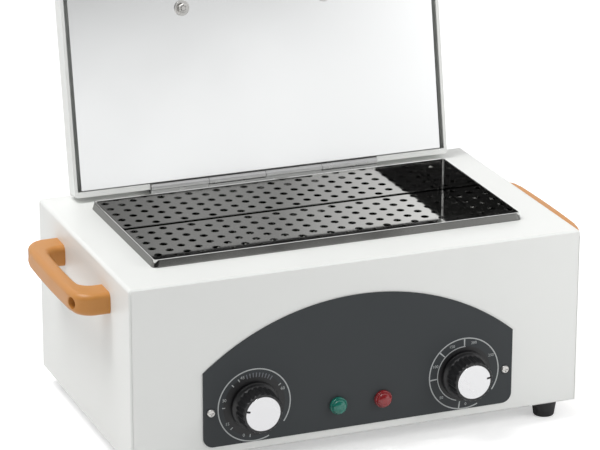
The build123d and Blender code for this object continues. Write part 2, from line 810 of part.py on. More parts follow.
# Hinge: knuckles by turns on the body's leaf and on the lid's, round one pin
knuckle_pitch = hinge_length / knuckles
knuckle_length = knuckle_pitch - knuckle_gap
knuckle_starts = [-hinge_length / 2 + n * knuckle_pitch + knuckle_gap / 2 for n in range(knuckles)]
body_foot_depth = 17.0
web_rise = hinge_rise - knuckle_radius - knuckle_gap
with BuildPart() as hinge_body_leaf:
    with BuildSketch(Plane.XY.offset(top)):
        with Locations((0, hinge_y + (body_foot_depth - hinge_sheet / 2) / 2)):
            Rectangle(hinge_length, body_foot_depth + hinge_sheet / 2)
    extrude(amount=hinge_sheet)
    with BuildSketch(hinge_line.offset(-hinge_length / 2)):
        with Locations((0, (web_rise - hinge_rise) - web_rise / 2)):
            Rectangle(hinge_sheet, web_rise)
    extrude(amount=hinge_length)
    for start in knuckle_starts[0::2]:
        with BuildSketch(hinge_line.offset(start)):
            RegularPolygon(knuckle_radius, round_sides)
            with Locations((0, -(hinge_rise - 0.5) / 2)):
                Rectangle(hinge_sheet, hinge_rise - 0.5)
        extrude(amount=knuckle_length)
    with BuildSketch(hinge_line.offset(-hinge_length / 2)):
        RegularPolygon(pin_radius, round_sides, major_radius=False)
    extrude(amount=hinge_length, mode=Mode.SUBTRACT)
    with BuildSketch(Plane.XY.offset(top)):
        with Locations((0, hinge_y + body_rivet_back)):
            with body_rivet_spots():
                RegularPolygon(rivet_hole, small_sides)
    extrude(amount=hinge_sheet, mode=Mode.SUBTRACT)
hinge_body_leaf.part.label = "hinge_body_leaf"
export_step(hinge_body_leaf.part, "parts/hinge_body_leaf.step")

with BuildPart() as hinge_pin:
    with BuildSketch(hinge_line.offset(-hinge_length / 2)):
        Circle(pin_radius)
    extrude(amount=hinge_length)
hinge_pin.part.label = "hinge_pin"
export_step(hinge_pin.part, "parts/hinge_pin.step")

with BuildPart() as hinge_body_rivets:
    with Locations((0, hinge_y + body_rivet_back, top + hinge_sheet)):
        with body_rivet_spots():
            add(rivet(hinge_sheet + sheet))
hinge_body_rivets.part.label = "hinge_body_rivets"
export_step(hinge_body_rivets.part, "parts/hinge_body_rivets.step")

lid_leaf_rise = 14.0
rivet_level = 6.4
rear_flange_face = Plane(
    origin=open_lid.from_local_coords(Vector(0, hinge_overhang, rivet_level)),
    x_dir=(-1, 0, 0),
    z_dir=open_lid.y_dir,
)
with BuildPart() as hinge_lid_leaf:
    with BuildSketch(open_lid.offset(knuckle_radius + 0.4)):
        with Locations((0, hinge_overhang - lid_sheet - hinge_sheet / 2)):
            Rectangle(hinge_length, hinge_sheet)
    extrude(amount=lid_leaf_rise - knuckle_radius - 0.4)
    for start in knuckle_starts[1::2]:
        with BuildSketch(open_lid):
            with Locations((start + knuckle_length / 2, hinge_overhang - lid_sheet - hinge_sheet / 2)):
                Rectangle(knuckle_length, hinge_sheet)
        extrude(amount=knuckle_radius + 1)
        with BuildSketch(hinge_line.offset(start)):
            RegularPolygon(knuckle_radius, round_sides)
        extrude(amount=knuckle_length)
    with BuildSketch(hinge_line.offset(-hinge_length / 2)):
        RegularPolygon(pin_radius + running_fit, round_sides, major_radius=False)
    extrude(amount=hinge_length, mode=Mode.SUBTRACT)
    with BuildSketch(rear_flange_face.offset(-lid_sheet)):
        with lid_rivet_spots():
            RegularPolygon(rivet_hole, small_sides)
    extrude(amount=-hinge_sheet, mode=Mode.SUBTRACT)
hinge_lid_leaf.part.label = "hinge_lid_leaf"
export_step(hinge_lid_leaf.part, "parts/hinge_lid_leaf.step")

with BuildPart() as hinge_lid_rivets:
    with Locations(rear_flange_face):
        with lid_rivet_spots():
            add(rivet(lid_sheet + hinge_sheet))
hinge_lid_rivets.part.label = "hinge_lid_rivets"
export_step(hinge_lid_rivets.part, "parts/hinge_lid_rivets.step")

# Lid skin: shallow painted pan with a hem round its rim, cut back where the hinge's barrel lies
with BuildPart() as lid_skin:
    with BuildSketch(open_lid.offset(rim)):
        with Locations((0, lid_middle)):
            RectangleRounded(lid_width, lid_length, 2.5)
    extrude(amount=lid_depth)
    chamfer(lid_skin.faces().sort_by(Axis(open_lid.origin, open_lid.z_dir))[-1].edges(), lid_bend / 2)
    with BuildSketch(open_lid.offset(rim)):
        with Locations((0, lid_middle)):
            RectangleRounded(lid_width - 2 * lid_sheet, lid_length - 2 * lid_sheet, 1.5)
    extrude(amount=lid_depth - lid_sheet, mode=Mode.SUBTRACT)
    with BuildSketch(open_lid.offset(rim)):
        with Locations((0, lid_middle)):
            RectangleRounded(lid_width - lid_sheet, lid_length - lid_sheet, 2.0)
        with Locations((0, lid_middle + (hem_width - rear_hem_width) / 2)):
            Rectangle(
                lid_width - 2 * hem_width,
                lid_length - hem_width - rear_hem_width,
                mode=Mode.SUBTRACT,
            )
    extrude(amount=lid_sheet)
    with BuildSketch(open_lid.offset(rim)):
        with Locations((0, hinge_overhang)):
            Rectangle(hinge_length + 1, 2 * rear_hem_width + 1)
    extrude(amount=knuckle_radius + 0.6 - rim, mode=Mode.SUBTRACT)
    with BuildSketch(open_lid.offset(skin_top)):
        with Locations((0, -lid_handle_back)):
            with lid_screw_spots():
                RegularPolygon(screw_hole, small_sides)
    extrude(amount=-lid_sheet, mode=Mode.SUBTRACT)
    with BuildSketch(rear_flange_face):
        with lid_rivet_spots():
            RegularPolygon(rivet_hole, small_sides)
    extrude(amount=-lid_sheet, mode=Mode.SUBTRACT)
lid_skin.part.label = "lid_skin"
export_step(lid_skin.part, "parts/lid_skin.step")

# Lid inner panel: polished pan facing the tub, its edges turned up into the lid
panel_width = lid_width - 2 * panel_inset
panel_front = hinge_overhang - lid_length + panel_inset
panel_rear = hinge_overhang - panel_rear_inset
panel_length = panel_rear - panel_front
panel_middle = (panel_rear + panel_front) / 2
panel_rise = skin_top - lid_sheet - fit_gap - seat
with BuildPart() as lid_inner_panel:
    with BuildSketch(open_lid.offset(seat)):
        with Locations((0, panel_middle)):
            Rectangle(panel_width, panel_length)
    extrude(amount=panel_rise)
    with BuildSketch(open_lid.offset(seat + tray_sheet)):
        with Locations((0, panel_middle)):
            Rectangle(panel_width - 2 * tray_sheet, panel_length - 2 * tray_sheet)
    extrude(amount=panel_rise, mode=Mode.SUBTRACT)
    with BuildSketch(open_lid.offset(seat)):
        with Locations((0, -lid_handle_back)):
            with lid_screw_spots():
                RegularPolygon(screw_hole, small_sides)
    extrude(amount=tray_sheet, mode=Mode.SUBTRACT)
lid_inner_panel.part.label = "lid_inner_panel"
export_step(lid_inner_panel.part, "parts/lid_inner_panel.step")

with BuildPart() as lid_insulation:
    with BuildSketch(open_lid.offset(seat + tray_sheet)):
        with Locations((0, panel_middle)):
            Rectangle(panel_width - 2 * tray_sheet - 1, panel_length - 2 * tray_sheet - 1)
        with Locations((0, -lid_handle_back)):
            with lid_screw_spots():
                small_hole(3.0)
    extrude(amount=panel_rise - tray_sheet)
lid_insulation.part.label = "lid_insulation"
export_step(lid_insulation.part, "parts/lid_insulation.step")

# Lid handle with its screws, and the washers and nuts seen on the inner panel
handle_base = Plane(
    origin=open_lid.from_local_coords(Vector(0, -lid_handle_back, skin_top)),
    x_dir=(1, 0, 0),
    z_dir=open_lid.z_dir,
)
panel_base = Plane(
    origin=open_lid.from_local_coords(Vector(0, -lid_handle_back, seat)),
    x_dir=(-1, 0, 0),
    z_dir=-open_lid.z_dir,
)
lid_handle = moulded_handle(handle_base, lid_handle_length, lid_screw_spacing)
lid_handle.part.label = "lid_handle"
export_step(lid_handle.part, "parts/lid_handle.step")

washer_thickness = 0.8
lid_screw_length = handle_seat + skin_top - seat + washer_thickness + nut_thickness + 0.6
with BuildPart() as lid_handle_screws:
    with Locations(handle_base.offset(handle_seat)):
        with lid_screw_spots():
            add(screw(lid_screw_length))
lid_handle_screws.part.label = "lid_handle_screws"
export_step(lid_handle_screws.part, "parts/lid_handle_screws.step")

with BuildPart() as lid_washers:
    with BuildSketch(panel_base):
        with lid_screw_spots():
            RegularPolygon(6.25, round_sides)
            small_hole(screw_hole)
    extrude(amount=washer_thickness)
lid_washers.part.label = "lid_washers"
export_step(lid_washers.part, "parts/lid_washers.step")

with BuildPart() as lid_nuts:
    with Locations(panel_base.offset(washer_thickness)):
        with lid_screw_spots():
            add(hexagon_nut())
lid_nuts.part.label = "lid_nuts"
export_step(lid_nuts.part, "parts/lid_nuts.step")
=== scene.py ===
import math

import bmesh
import bpy
from mathutils import Matrix, Vector


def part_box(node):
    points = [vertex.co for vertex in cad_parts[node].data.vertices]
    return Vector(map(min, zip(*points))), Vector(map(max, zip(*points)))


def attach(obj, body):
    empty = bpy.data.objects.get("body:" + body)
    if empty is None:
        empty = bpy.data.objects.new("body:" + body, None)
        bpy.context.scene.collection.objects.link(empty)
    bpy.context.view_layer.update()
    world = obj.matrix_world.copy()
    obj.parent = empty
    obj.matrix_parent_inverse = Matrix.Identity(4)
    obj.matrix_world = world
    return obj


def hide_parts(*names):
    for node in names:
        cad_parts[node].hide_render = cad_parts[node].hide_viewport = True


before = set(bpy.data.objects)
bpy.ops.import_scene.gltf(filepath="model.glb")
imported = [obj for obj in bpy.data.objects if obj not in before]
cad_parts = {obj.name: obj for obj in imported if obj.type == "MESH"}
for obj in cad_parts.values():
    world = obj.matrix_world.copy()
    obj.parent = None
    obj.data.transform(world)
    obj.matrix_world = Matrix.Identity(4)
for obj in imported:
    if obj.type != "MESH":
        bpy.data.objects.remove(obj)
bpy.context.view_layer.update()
mm = 0.001

# Viewpoint: the machine is seen from its left front, a little from above.
# The lens is long, so that its edges stay nearly parallel.
eye = Vector((-0.86278, -2.16674, 0.96518))
looked_at = Vector((-0.00563, -0.015, 0.14911))
tilt = math.radians(0.168)
ahead = (looked_at - eye).normalized()
level_right = ahead.cross(Vector((0, 0, 1))).normalized()
level_up = level_right.cross(ahead)
cam_right = level_right * math.cos(tilt) + level_up * math.sin(tilt)
cam_up = level_up * math.cos(tilt) - level_right * math.sin(tilt)
bpy.ops.object.select_all(action="DESELECT")
bpy.ops.object.camera_add(location=eye)
camera = bpy.context.object
camera.matrix_world = Matrix.Translation(eye) @ Matrix((cam_right, cam_up, -ahead)).transposed().to_4x4()
camera.data.lens = 187.33
camera.data.sensor_width = 36.0
camera.data.clip_end = 50.0
bpy.context.scene.camera = camera
bpy.context.scene.view_settings.view_transform = "Standard"

# Table and room: a white table in an evenly white room, with a large soft lamp above and to the left
# and a smaller one close by on the right. Only what shines reflects the dark sides of the room.
bpy.ops.mesh.primitive_plane_add(size=9.0, location=(0, 1.0, 0))
table_top = bpy.context.object
table_top.name = "table_top"
table_paint = bpy.data.materials.new("table white")
table_paint.use_nodes = True
tree = table_paint.node_tree
shader = tree.nodes["Principled BSDF"]
shader.inputs["Roughness"].default_value = 0.7
shader.inputs["Specular IOR Level"].default_value = 0.1
shader.inputs["Emission Color"].default_value = (1, 1, 1, 1)
ray = tree.nodes.new("ShaderNodeLightPath")
seen = tree.nodes.new("ShaderNodeMath")
seen.operation = "MAXIMUM"
table_colour = tree.nodes.new("ShaderNodeMix")
table_colour.data_type = "RGBA"
table_colour.inputs[6].default_value = (0.80, 0.80, 0.80, 1)
table_colour.inputs[7].default_value = (0.97, 0.97, 0.97, 1)
table_glow = tree.nodes.new("ShaderNodeMath")
table_glow.operation = "MULTIPLY"
table_glow.inputs[1].default_value = 0.38
tree.links.new(ray.outputs["Is Camera Ray"], seen.inputs[0])
tree.links.new(ray.outputs["Is Glossy Ray"], seen.inputs[1])
tree.links.new(seen.outputs[0], table_colour.inputs[0])
tree.links.new(ray.outputs["Is Camera Ray"], table_glow.inputs[0])
tree.links.new(table_colour.outputs[2], shader.inputs["Base Color"])
tree.links.new(table_glow.outputs[0], shader.inputs["Emission Strength"])
table_top.data.materials.append(table_paint)

room = bpy.data.worlds.new("white room")
bpy.context.scene.world = room
room.use_nodes = True
tree = room.node_tree
glow = tree.nodes["Background"]
glow.inputs["Color"].default_value = (1.0, 1.0, 1.0, 1)
ray = tree.nodes.new("ShaderNodeLightPath")
seen = tree.nodes.new("ShaderNodeMath")
seen.operation = "MAXIMUM"
seen_or_through = tree.nodes.new("ShaderNodeMath")
seen_or_through.operation = "MAXIMUM"
strength = tree.nodes.new("ShaderNodeMapRange")
strength.inputs["To Min"].default_value = 0.50
strength.inputs["To Max"].default_value = 1.0
tree.links.new(ray.outputs["Is Camera Ray"], seen.inputs[0])
tree.links.new(ray.outputs["Is Glossy Ray"], seen.inputs[1])
tree.links.new(seen.outputs[0], seen_or_through.inputs[0])
tree.links.new(ray.outputs["Is Transmission Ray"], seen_or_through.inputs[1])
tree.links.new(seen_or_through.outputs[0], strength.inputs["Value"])
tree.links.new(strength.outputs["Result"], glow.inputs["Strength"])

bpy.ops.object.light_add(type="AREA", location=(-0.85, 0.15, 1.9))
lamp = bpy.context.object
lamp.data.shape = "DISK"
lamp.data.size = 1.1
lamp.data.energy = 25.0
lamp.rotation_euler = (Vector((0, 0, 0.1)) - lamp.location).to_track_quat("-Z", "Y").to_euler()

bpy.ops.object.light_add(type="AREA", location=(0.70, -0.66, 0.50))
near_lamp = bpy.context.object
near_lamp.data.shape = "DISK"
near_lamp.data.size = 0.35
near_lamp.data.energy = 2.8
lit_spot = Vector((0.1, -0.1, 0.08))
near_lamp.rotation_euler = (lit_spot - near_lamp.location).to_track_quat("-Z", "Y").to_euler()
near_lamp.visible_glossy = False

wall_paint = bpy.data.materials.new("dark wall")
wall_paint.use_nodes = True
tree = wall_paint.node_tree
shader = tree.nodes["Principled BSDF"]
shader.inputs["Base Color"].default_value = (0, 0, 0, 1)
shader.inputs["Roughness"].default_value = 1.0
shader.inputs["Specular IOR Level"].default_value = 0.0
shader.inputs["Emission Strength"].default_value = 1.0
place = tree.nodes.new("ShaderNodeTexCoord")
split = tree.nodes.new("ShaderNodeSeparateXYZ")
# The wall glows in two steps towards its right side, up to a height, and along its foot.
bands = []
for socket, start, end, brightest in (
    ("X", 0.60, 1.00, 0.40), ("X", 1.20, 1.60, 1.10), ("Z", 1.95, 1.55, 1.0), ("Z", 0.70, 0.50, 1.05)
):
    band = tree.nodes.new("ShaderNodeMapRange")
    band.inputs["From Min"].default_value = start
    band.inputs["From Max"].default_value = end
    band.inputs["To Max"].default_value = brightest
    tree.links.new(split.outputs[socket], band.inputs["Value"])
    bands.append(band.outputs["Result"])
tree.links.new(place.outputs["Object"], split.inputs[0])
faint_glow = 0.018
wall_light = bands[0]
for operation, band in (("ADD", bands[1]), ("MULTIPLY", bands[2]), ("MAXIMUM", bands[3]), ("ADD", None)):
    step = tree.nodes.new("ShaderNodeMath")
    step.operation = operation
    step.inputs[1].default_value = faint_glow
    tree.links.new(wall_light, step.inputs[0])
    if band is not None:
        tree.links.new(band, step.inputs[1])
    wall_light = step.outputs[0]
tree.links.new(wall_light, shader.inputs["Emission Color"])
bpy.ops.object.select_all(action="DESELECT")
bpy.ops.mesh.primitive_plane_add(size=1.0)
dark_wall = bpy.context.object
dark_wall.name = "dark_side_of_room"
dark_wall.data.transform(
    Matrix.Translation((-3.75, -3.0, 3.15))
    @ Matrix.Rotation(math.pi / 2, 4, "X")
    @ Matrix.Diagonal((16.5, 5.7, 1, 1))
)
dark_wall.data.materials.append(wall_paint)
for setting in ("visible_camera", "visible_diffuse", "visible_shadow", "visible_transmission"):
    setattr(dark_wall, setting, False)


# Casing, rear panel and base plate: folded sheet steel, powder coated white.
# The coat has a fine orange peel, with patches a little glossier than the rest.
def uneven_finish_group():
    """Shader group: patches of two colours, two grades of roughness and a fine grain in the surface."""
    group = bpy.data.node_groups.new("uneven finish", "ShaderNodeTree")
    for socket, kind, value in (
        ("Colour", "NodeSocketColor", (0.5, 0.5, 0.5, 1)),
        ("Other colour", "NodeSocketColor", (0.6, 0.6, 0.6, 1)),
        ("Patch scale", "NodeSocketFloat", 20.0),
        ("Grain scale", "NodeSocketFloat", 900.0),
        ("Smoothest", "NodeSocketFloat", 0.3),
        ("Roughest", "NodeSocketFloat", 0.5),
        ("Grain height", "NodeSocketFloat", 0.1),
    ):
        made = group.interface.new_socket(socket, in_out="INPUT", socket_type=kind)
        made.default_value = value
    group.interface.new_socket("Colour", in_out="OUTPUT", socket_type="NodeSocketColor")
    group.interface.new_socket("Roughness", in_out="OUTPUT", socket_type="NodeSocketFloat")
    group.interface.new_socket("Normal", in_out="OUTPUT", socket_type="NodeSocketVector")
    given = group.nodes.new("NodeGroupInput")
    result = group.nodes.new("NodeGroupOutput")
    place = group.nodes.new("ShaderNodeTexCoord")
    patches = group.nodes.new("ShaderNodeTexNoise")
    patches.inputs["Detail"].default_value = 4.0
    grain = group.nodes.new("ShaderNodeTexNoise")
    grain.inputs["Detail"].default_value = 2.0
    colour = group.nodes.new("ShaderNodeMix")
    colour.data_type = "RGBA"
    rough = group.nodes.new("ShaderNodeMapRange")
    rough.inputs["From Min"].default_value = 0.3
    rough.inputs["From Max"].default_value = 0.7
    bump = group.nodes.new("ShaderNodeBump")
    bump.inputs["Distance"].default_value = 0.0002
    link = group.links.new
    link(place.outputs["Object"], patches.inputs["Vector"])
    link(place.outputs["Object"], grain.inputs["Vector"])
    link(given.outputs["Patch scale"], patches.inputs["Scale"])
    link(given.outputs["Grain scale"], grain.inputs["Scale"])
    link(patches.outputs["Fac"], colour.inputs[0])
    link(given.outputs["Colour"], colour.inputs[6])
    link(given.outputs["Other colour"], colour.inputs[7])
    link(patches.outputs["Fac"], rough.inputs["Value"])
    link(given.outputs["Smoothest"], rough.inputs["To Min"])
    link(given.outputs["Roughest"], rough.inputs["To Max"])
    link(grain.outputs["Fac"], bump.inputs["Height"])
    link(given.outputs["Grain height"], bump.inputs["Strength"])
    link(colour.outputs[2], result.inputs["Colour"])
    link(rough.outputs["Result"], result.inputs["Roughness"])
    link(bump.outputs["Normal"], result.inputs["Normal"])
    return group


uneven_finish = uneven_finish_group()


def shader_of(material):
    """The shader that makes the material's surface."""
    return material.node_tree.nodes["Principled BSDF"]


def finish_of(name, colour, other_colour, roughness, scales, grain_height, metallic=0.0):
    """A material whose colour, roughness and grain come from the uneven finish."""
    material = bpy.data.materials.new(name)
    material.use_nodes = True
    tree = material.node_tree
    shader = shader_of(material)
    shader.inputs["Metallic"].default_value = metallic
    effect = tree.nodes.new("ShaderNodeGroup")
    effect.node_tree = uneven_finish
    effect.inputs["Colour"].default_value = (*colour, 1)
    effect.inputs["Other colour"].default_value = (*other_colour, 1)
    effect.inputs["Smoothest"].default_value, effect.inputs["Roughest"].default_value = roughness
    effect.inputs["Patch scale"].default_value, effect.inputs["Grain scale"].default_value = scales
    effect.inputs["Grain height"].default_value = grain_height
    tree.links.new(effect.outputs["Colour"], shader.inputs["Base Color"])
    tree.links.new(effect.outputs["Roughness"], shader.inputs["Roughness"])
    tree.links.new(effect.outputs["Normal"], shader.inputs["Normal"])
    return material


def dress(material, *names):
    """Gives the CAD nodes of these names the material."""
    for name in names:
        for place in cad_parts[name].material_slots:
            place.material = material


powder_coat = finish_of(
    "white powder coat", (0.80, 0.81, 0.79), (0.84, 0.85, 0.83),
    roughness=(0.38, 0.5), scales=(9.0, 1400.0), grain_height=0.10,
)
shader = shader_of(powder_coat)
shader.inputs["Coat Weight"].default_value = 0.15
shader.inputs["Coat Roughness"].default_value = 0.25
dress(powder_coat, "casing", "rear_panel", "base_plate")


# Feet: tapered black rubber, moulded, with a rounded lower edge and a deep recess for the screw.
# A steel screw goes up through each into a nut on the base plate.
def turned(profile, steps):
    """A piece turned about Z: a disc is extruded and widened from point to point of a profile in mm."""
    bpy.ops.object.select_all(action="DESELECT")
    radius, height = profile[0]
    bpy.ops.mesh.primitive_circle_add(
        vertices=steps, radius=radius * mm, fill_type="NGON", location=(0, 0, height * mm)
    )
    bpy.ops.object.mode_set(mode="EDIT")
    for next_radius, next_height in profile[1:]:
        move = {"value": (0, 0, (next_height - height) * mm)}
        bpy.ops.mesh.extrude_region_move(TRANSFORM_OT_translate=move)
        ratio = next_radius / radius
        bpy.ops.transform.resize(value=(ratio, ratio, 1), center_override=(0, 0, next_height * mm))
        radius, height = next_radius, next_height
    bpy.ops.mesh.select_all(action="SELECT")
    bpy.ops.mesh.normals_make_consistent(inside=False)
    bpy.ops.object.mode_set(mode="OBJECT")
    bpy.ops.object.transform_apply(location=True, rotation=True, scale=True)
    return bpy.context.object


def set_in_place(piece, origin, x_dir, z_dir):
    """Puts a piece made at the centre where it belongs, with its place in its mesh."""
    x_dir, z_dir = Vector(x_dir), Vector(z_dir)
    turn = Matrix((x_dir, z_dir.cross(x_dir), z_dir)).transposed().to_4x4()
    piece.data.transform(Matrix.Translation(Vector(origin)) @ turn)


def copy_of(piece):
    """A copy of the piece with its own mesh."""
    twin = piece.copy()
    twin.data = piece.data.copy()
    bpy.context.scene.collection.objects.link(twin)
    return twin


def joined(pieces):
    """The pieces made one."""
    bpy.ops.object.select_all(action="DESELECT")
    for piece in pieces:
        piece.select_set(True)
    bpy.context.view_layer.objects.active = pieces[0]
    bpy.ops.object.join()
    return pieces[0]


def fit(piece, name, body, slot, material, *nodes):
    """Names and smooths a finished piece, gives it its material, and lets it stand for its nodes."""
    bpy.ops.object.select_all(action="DESELECT")
    piece.select_set(True)
    bpy.context.view_layer.objects.active = piece
    bpy.ops.object.shade_smooth_by_angle(angle=math.radians(32))
    even_normals = piece.modifiers.new("even normals", "WEIGHTED_NORMAL")
    even_normals.keep_sharp = True
    bpy.ops.object.modifier_apply(modifier="even normals")
    piece.name = name
    piece.data.name = name
    piece.data.materials.clear()
    piece.data.materials.append(material)
    if nodes:
        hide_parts(*nodes)
    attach(piece, body)


rubber = finish_of(
    "black rubber", (0.012, 0.012, 0.013), (0.022, 0.022, 0.023),
    roughness=(0.55, 0.75), scales=(60.0, 2500.0), grain_height=0.25,
)
for foot_name in ("foot_front_left", "foot_front_right", "foot_rear_left", "foot_rear_right"):
    low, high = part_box(foot_name)
    foot = turned(
        (
            (2.3, 8.0), (5.0, 8.0), (5.0, 0.5), (5.4, 0.0), (7.3, 0.0), (8.0, 0.3), (8.35, 1.0),
            (9.9, 11.6), (10.4, 14.2), (10.4, 14.7), (10.1, 15.0), (2.3, 15.0), (2.3, 9.0),
        ),
        steps=48,
    )
    set_in_place(foot, ((low.x + high.x) / 2, (low.y + high.y) / 2, 0), (1, 0, 0), (0, 0, 1))
    fit(foot, f"{foot_name}_rubber", "body", "black_rubber", rubber, foot_name)

bright_screw_steel = finish_of(
    "bright screw steel", (0.60, 0.59, 0.57), (0.72, 0.71, 0.69),
    roughness=(0.22, 0.38), scales=(120.0, 3000.0), grain_height=0.10, metallic=1.0,
)
dress(bright_screw_steel, "foot_screws", "foot_nuts", "rear_screws", "side_handle_nuts")


# Tub: deep drawn from polished stainless sheet, with a rolled lip. The polish leaves a slight waviness.
# A sloped collar goes round the lip and covers the edge of the top plate's opening; its sheet is painted
# dark, a painted shade standing for the dark reflections on its slopes.
def drawn(width, depth, corner, profile, closed=True):
    """A drawn shell: a rounded rectangle is extruded and widened from point to point of the profile.

    A point is how far it stands outside the rectangle and its height, in mm."""
    bpy.ops.object.select_all(action="DESELECT")
    bpy.ops.mesh.primitive_plane_add(size=1.0)
    shell = bpy.context.object
    bpy.ops.object.mode_set(mode="EDIT")
    out, height = profile[0]
    bpy.ops.transform.resize(
        value=((width + 2 * out) * mm, (depth + 2 * out) * mm, 1), center_override=(0, 0, 0)
    )
    bpy.ops.transform.translate(value=(0, 0, height * mm))
    bpy.ops.mesh.bevel(offset=corner * mm, segments=6, affect="VERTICES")
    bpy.ops.mesh.select_all(action="SELECT")
    if not closed:
        bpy.ops.mesh.delete(type="ONLY_FACE")
        bpy.ops.mesh.select_all(action="SELECT")
    for next_out, next_height in profile[1:]:
        move = {"value": (0, 0, (next_height - height) * mm)}
        if closed:
            bpy.ops.mesh.extrude_region_move(TRANSFORM_OT_translate=move)
        else:
            bpy.ops.mesh.extrude_edges_move(TRANSFORM_OT_translate=move)
        ratio_x = (width + 2 * next_out) / (width + 2 * out)
        ratio_y = (depth + 2 * next_out) / (depth + 2 * out)
        bpy.ops.transform.resize(value=(ratio_x, ratio_y, 1), center_override=(0, 0, next_height * mm))
        out, height = next_out, next_height
    bpy.ops.mesh.select_all(action="SELECT")
    bpy.ops.mesh.normals_make_consistent(inside=False)
    bpy.ops.object.mode_set(mode="OBJECT")
    return shell


tub_width, tub_length = 300.8, 144.3
tub_place = Matrix.Translation((0, -12.75 * mm, 0))
polished_steel = finish_of(
    "polished stainless steel", (0.70, 0.70, 0.69), (0.76, 0.76, 0.75),
    roughness=(0.015, 0.05), scales=(14.0, 40.0), grain_height=0.03, metallic=1.0,
)
basin = drawn(
    tub_width, tub_length, corner=1.8,
    profile=(
        (-1.6, 107.0), (-0.5, 107.45), (0.0, 108.6), (0.0, 162.3), (0.2, 162.8), (0.6, 163.0),
        (0.9, 162.8), (1.0, 162.3), (1.0, 108.0), (0.4, 106.5), (-1.2, 106.0),
    ),
)
basin.data.transform(tub_place)
fit(basin, "tub_basin", "body", "polished_steel", polished_steel, "tub")
# The collar's steel colour is darkened to paint in shade: it stands for the dark reflections on its
# sloped faces.
shade_darkened_collar_steel = finish_of(
    "collar steel darkened with painted shade", (0.15, 0.15, 0.145), (0.22, 0.22, 0.21),
    roughness=(0.14, 0.26), scales=(30.0, 1200.0), grain_height=0.08, metallic=1.0,
)
collar = drawn(
    tub_width, tub_length, corner=4.5,
    profile=((2.6, 157.0), (2.6, 157.5), (2.45, 158.0), (1.3, 162.3), (1.05, 162.6)),
    closed=False,
)
collar.data.transform(tub_place)
bpy.context.view_layer.objects.active = collar
collar_sheet = collar.modifiers.new("sheet", "SOLIDIFY")
collar_sheet.thickness = 0.5 * mm
collar_sheet.offset = -1.0
bpy.ops.object.modifier_apply(modifier="sheet")
fit(collar, "tub_collar", "body", "polished_steel", shade_darkened_collar_steel)


# Perforated tray: punched from stainless sheet in staggered rows, with a short skirt folded down.
# Four corner legs of the same sheet stand on the tub's floor.
def choose(piece, kind, test):
    """In edit mode, selects the vertices, edges or faces whose middle passes the test."""
    shape = bmesh.from_edit_mesh(piece.data)
    bpy.ops.mesh.select_mode(type=kind)
    bpy.ops.mesh.select_all(action="DESELECT")
    parts = {"VERT": shape.verts, "EDGE": shape.edges, "FACE": shape.faces}[kind]
    for part in parts:
        if kind == "VERT":
            middle = part.co
        elif kind == "EDGE":
            middle = (part.verts[0].co + part.verts[1].co) / 2
        else:
            middle = part.calc_center_median()
        part.select_set(bool(test(middle, part)))
    shape.select_flush_mode()
    bmesh.update_edit_mesh(piece.data)


def cut_with(piece, cutter):
    """Cuts the cutter's shape out of the piece."""
    bpy.ops.object.select_all(action="DESELECT")
    piece.select_set(True)
    bpy.context.view_layer.objects.active = piece
    cut = piece.modifiers.new("cut", "BOOLEAN")
    cut.operation = "DIFFERENCE"
    cut.solver = "EXACT"
    cut.object = cutter
    bpy.ops.object.modifier_apply(modifier="cut")
    bpy.data.objects.remove(cutter)


tray_low, tray_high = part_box("perforated_tray")
tray_middle = (tray_low + tray_high) / 2
tray_half_x = (tray_high.x - tray_low.x) / 2
rear_room = 0.8 * mm
tray_half_y = (tray_high.y - tray_low.y) / 2 - rear_room
tray_sheet = 0.8 * mm
tray_corner = 4.0 * mm
fold_round = 0.6 * mm
skirt = 8.0 * mm
leg_reach = 22.0 * mm
bpy.ops.object.select_all(action="DESELECT")
bpy.ops.mesh.primitive_plane_add(size=1.0, location=(0, 0, 0))
tray = bpy.context.object
bpy.ops.object.mode_set(mode="EDIT")
bpy.ops.transform.resize(value=(2 * tray_half_x, 2 * tray_half_y, 1), center_override=(0, 0, 0))
bpy.ops.mesh.bevel(offset=tray_corner, segments=5, affect="VERTICES")
bpy.ops.mesh.select_all(action="SELECT")
bpy.ops.mesh.extrude_region_move(TRANSFORM_OT_translate={"value": (0, 0, skirt)})
choose(tray, "FACE", lambda middle, face: middle.z < 1.0e-4 and abs(face.normal.z) > 0.9)
bpy.ops.mesh.delete(type="ONLY_FACE")
choose(tray, "EDGE", lambda middle, edge: all(v.co.z > 0.99 * skirt for v in edge.verts))
bpy.ops.mesh.bevel(offset=fold_round, segments=2, affect="EDGES")
for side in (-1, 1):
    bpy.ops.mesh.select_all(action="SELECT")
    bpy.ops.mesh.bisect(plane_co=(side * (tray_half_x - leg_reach), 0, 0), plane_no=(1, 0, 0))
    bpy.ops.mesh.select_all(action="SELECT")
    bpy.ops.mesh.bisect(plane_co=(0, side * (tray_half_y - leg_reach), 0), plane_no=(0, 1, 0))
choose(
    tray,
    "EDGE",
    lambda middle, edge: all(v.co.z < 0.1 * mm for v in edge.verts)
    and abs(middle.x) > tray_half_x - leg_reach
    and abs(middle.y) > tray_half_y - leg_reach,
)
leg_drop = tray_high.z - tray_low.z - skirt
bpy.ops.mesh.extrude_edges_move(TRANSFORM_OT_translate={"value": (0, 0, -leg_drop)})
bpy.ops.mesh.select_all(action="SELECT")
bpy.ops.mesh.remove_doubles(threshold=1e-6)
bpy.ops.mesh.normals_make_consistent(inside=False)
bpy.ops.object.mode_set(mode="OBJECT")
thickness = tray.modifiers.new("sheet", "SOLIDIFY")
thickness.thickness = tray_sheet
thickness.offset = -1.0
bpy.ops.object.modifier_apply(modifier="sheet")
punches = []
hole_radius, hole_pitch_x, hole_pitch_y = 3.3 * mm, 12.1 * mm, 14.4 * mm
